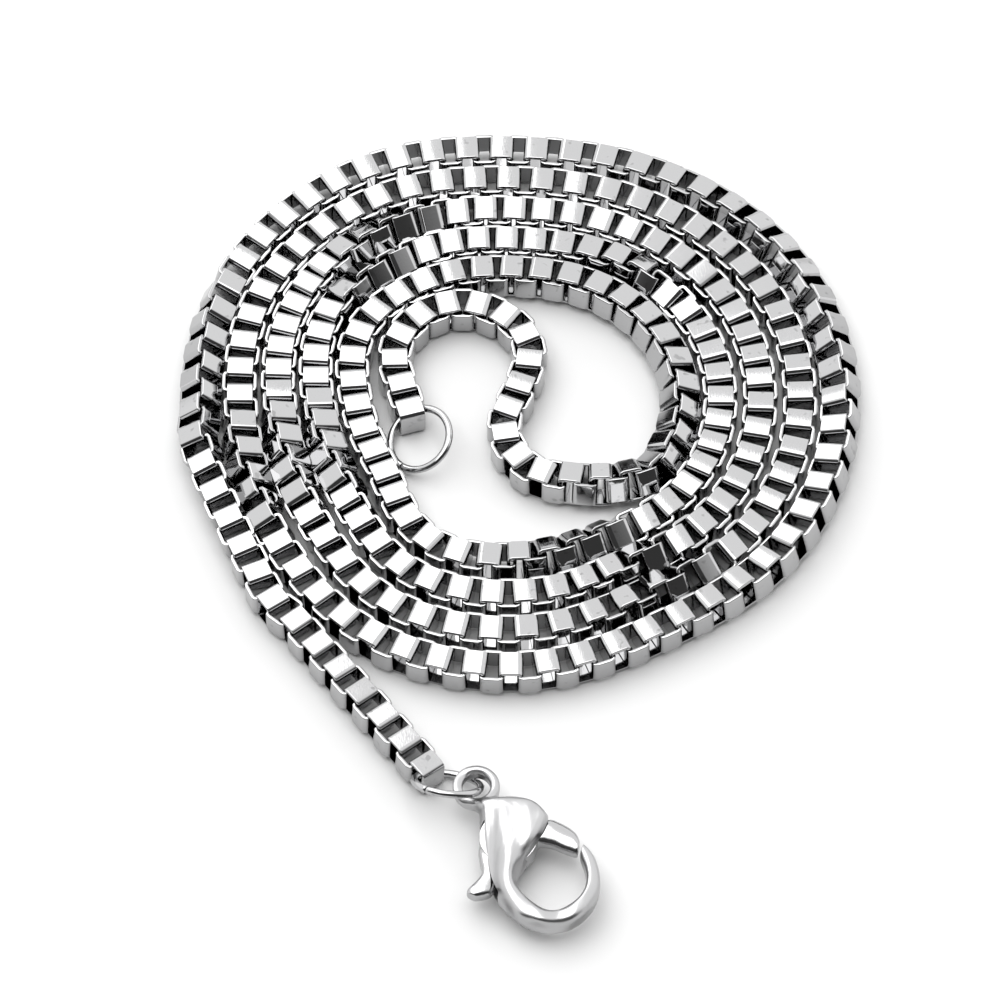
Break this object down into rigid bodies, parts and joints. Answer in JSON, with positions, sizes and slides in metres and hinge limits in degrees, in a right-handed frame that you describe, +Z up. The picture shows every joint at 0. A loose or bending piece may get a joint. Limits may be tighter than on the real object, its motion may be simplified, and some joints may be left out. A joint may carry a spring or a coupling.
{
  "type": "box chain necklace",
  "caption": "Box chain necklace lying in a flat coil, with a jump ring at each end and a lobster clasp with a sprung lever at the outer end.",
  "frame": {"origin": "middle of the bounding box, on the surface that the chain lies on", "axes": "+Z up from that surface, +Y from the clasp towards the far side of the coil, +X to the right as the chain is seen from the clasp's side"},
  "size_m": [0.0504, 0.0682, 0.004],
  "materials": {
    "chain_steel": "polished stainless steel strip with bright edges",
    "ring_steel": "polished stainless steel wire",
    "clasp_steel": "mirror polished stainless steel",
    "lever_steel": "polished stainless steel, slightly softer than the body"
  },
  "bodies": {
    "chain": {"chain_coil": "chain_steel", "chain_tail": "chain_steel", "ring_inner": "ring_steel", "ring_clasp": "ring_steel", "clasp_body": "clasp_steel", "clasp_pin": "clasp_steel"},
    "lever": {"clasp_lever": "lever_steel"}
  },
  "joints": [
    {"name": "lever_hinge", "type": "hinge", "parent": "chain", "child": "lever", "pos_m": [-0.00115, -0.02689, 0.00195], "axis": [0, 0, -1], "range_deg": [0, 32], "stiffness_Nm_per_rad": 0.004, "springref_deg": -11.46}
  ]
}
